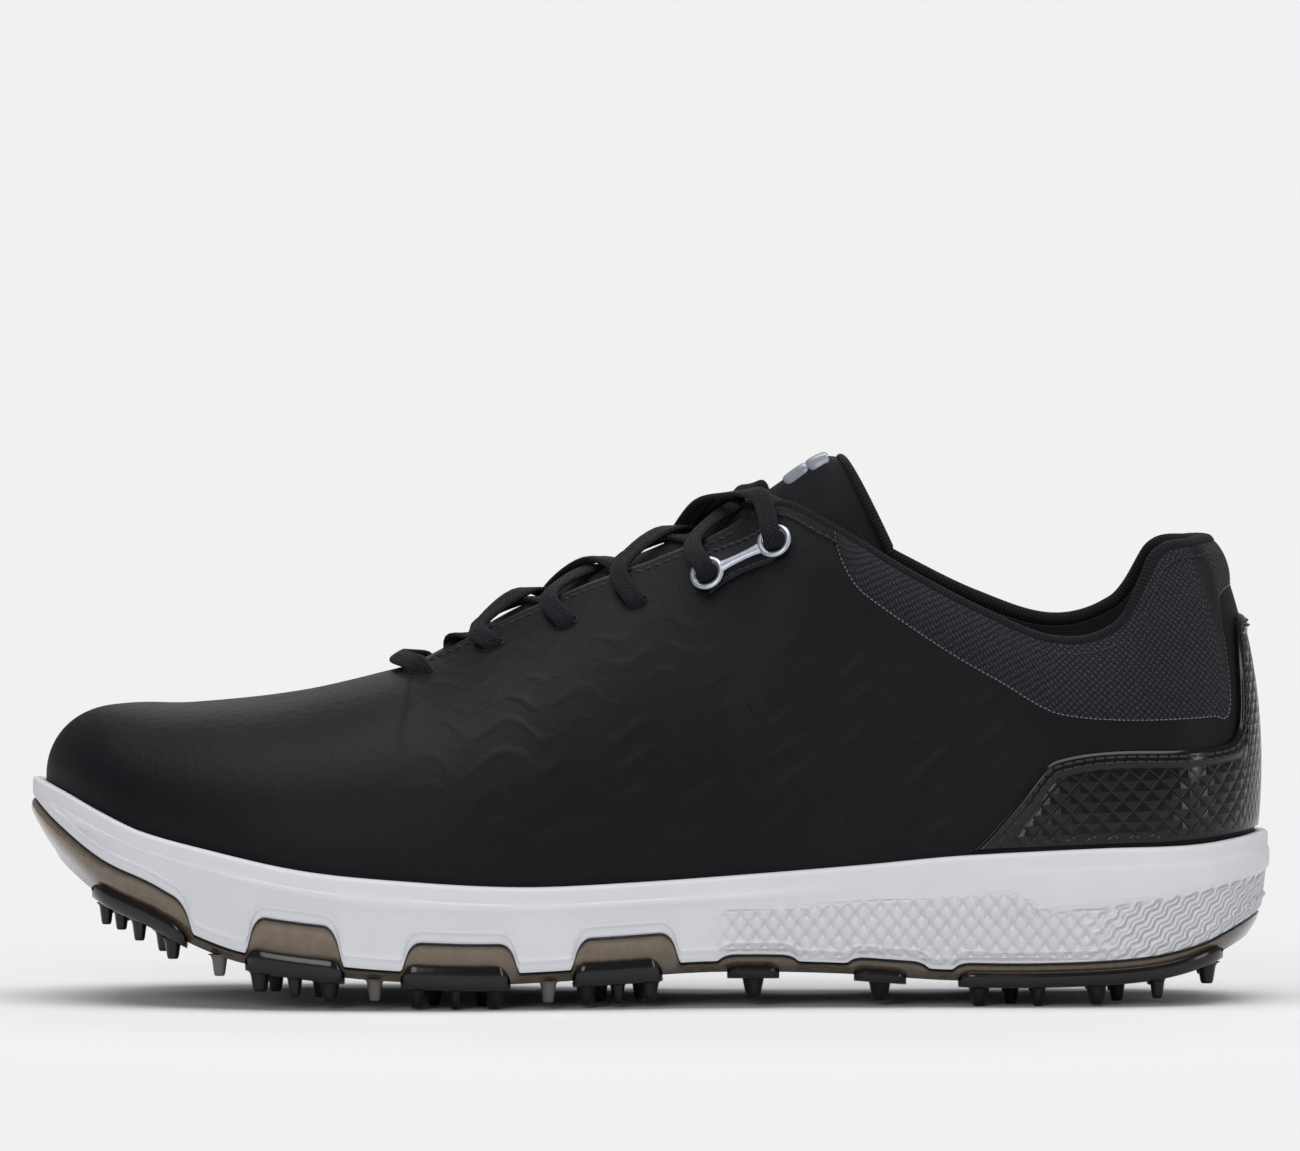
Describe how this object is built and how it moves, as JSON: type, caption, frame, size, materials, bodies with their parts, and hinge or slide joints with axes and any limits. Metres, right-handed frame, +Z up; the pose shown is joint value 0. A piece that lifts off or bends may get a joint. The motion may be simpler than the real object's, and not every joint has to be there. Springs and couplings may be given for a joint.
{
  "type": "golf shoe",
  "caption": "Low-cut left golf shoe with a moulded lugged outsole, foam midsole, black synthetic upper, metal lace links, laced throat and padded collar.",
  "frame": {"origin": "centre of the shoe's bounding box in plan, on the ground plane that the longest lugs stand on", "axes": "+X from the toe to the heel, +Z up, so -Y is the outer (lateral) side of this left shoe"},
  "size_m": [0.3, 0.1098, 0.1337],
  "materials": {
    "outsole_plate": "smoky moulded thermoplastic, semi-clear brown at its edges",
    "midsole_foam": "matte white foam with moulded texture",
    "shank_plastic": "plain moulded",
    "strobel_felt": "woven board",
    "insole_foam": "knit-faced foam",
    "lug_rubber": "satin black moulded",
    "upper_synthetic": "matte black synthetic with fine embossing",
    "collar_knit": "coarse black mesh",
    "padding_foam": "open foam",
    "lining_knit": "soft black knit",
    "stiffener": "plain sheet",
    "gloss_film": "glossy black film",
    "binding_tape": "fine knit tape",
    "link_metal": "satin silver",
    "tongue_knit": "padded knit",
    "badge_rubber": "satin grey-blue",
    "lace_cord": "flat woven polyester",
    "tip_plastic": "clear-coated black"
  },
  "bodies": {
    "shoe": {"outsole": "outsole_plate", "toe_pod_lateral": "lug_rubber", "toe_pod_medial": "lug_rubber", "forefoot_pod_1_lateral": "lug_rubber", "forefoot_pod_1_medial": "lug_rubber", "forefoot_pod_2_lateral": "lug_rubber", "forefoot_pod_2_medial": "lug_rubber", "forefoot_pod_3_lateral": "lug_rubber", "forefoot_pod_3_medial": "lug_rubber", "arch_pod_1_lateral": "lug_rubber", "arch_pod_1_medial": "lug_rubber", "arch_pod_2_lateral": "lug_rubber", "arch_pod_2_medial": "lug_rubber", "heel_pod_lateral": "lug_rubber", "heel_pod_medial": "lug_rubber", "midsole": "midsole_foam", "shank": "shank_plastic", "strobel_board": "strobel_felt", "insole": "insole_foam", "upper_shell": "upper_synthetic", "collar_mesh": "collar_knit", "collar_padding": "padding_foam", "lining": "lining_knit", "heel_counter": "stiffener", "toe_puff": "stiffener", "heel_overlay": "gloss_film", "collar_binding": "binding_tape", "throat_piping": "gloss_film", "eyestay_backing_lateral": "stiffener", "eyestay_backing_medial": "stiffener", "link_patch_lateral": "upper_synthetic", "link_patch_medial": "upper_synthetic", "lace_link_lateral": "link_metal", "lace_link_medial": "link_metal", "tongue_lower": "tongue_knit", "lace": "lace_cord", "lace_tip_lateral": "tip_plastic", "lace_tip_medial": "tip_plastic"},
    "tongue_flap": {"tongue_top": "tongue_knit", "tongue_badge": "badge_rubber"}
  },
  "joints": [
    {"name": "tongue_fold", "type": "hinge", "parent": "shoe", "child": "tongue_flap", "pos_m": [0.027, 0, 0.1205], "axis": [0, 1, 0], "range_deg": [-40, 12], "stiffness_Nm_per_rad": 0.05}
  ]
}
